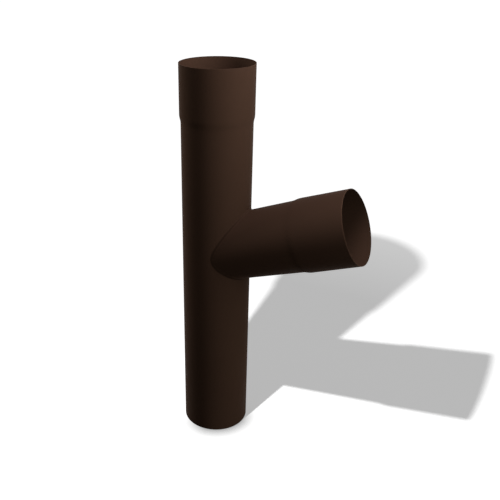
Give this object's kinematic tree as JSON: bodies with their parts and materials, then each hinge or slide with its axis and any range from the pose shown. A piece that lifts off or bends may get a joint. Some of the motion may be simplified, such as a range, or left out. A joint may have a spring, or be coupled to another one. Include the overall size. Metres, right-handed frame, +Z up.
{
  "type": "downpipe branch",
  "caption": "Coated sheet-steel downpipe branch: a straight round pipe with a socket at the top and a slanting side pipe with its own socket.",
  "frame": {"origin": "centre of the plain lower end of the main pipe (the spigot)", "axes": "+Z up the main pipe to its socket, +X towards the side the branch leaves, with both pipe axes in the XZ plane"},
  "size_m": [0.2432, 0.0914, 0.5],
  "materials": {
    "coated_steel": "satin polyester powder coat, chocolate brown, inside and out"
  },
  "bodies": {
    "root": {"main_pipe": "coated_steel", "branch_pipe": "coated_steel", "weld_bead": "coated_steel"}
  },
  "joints": []
}
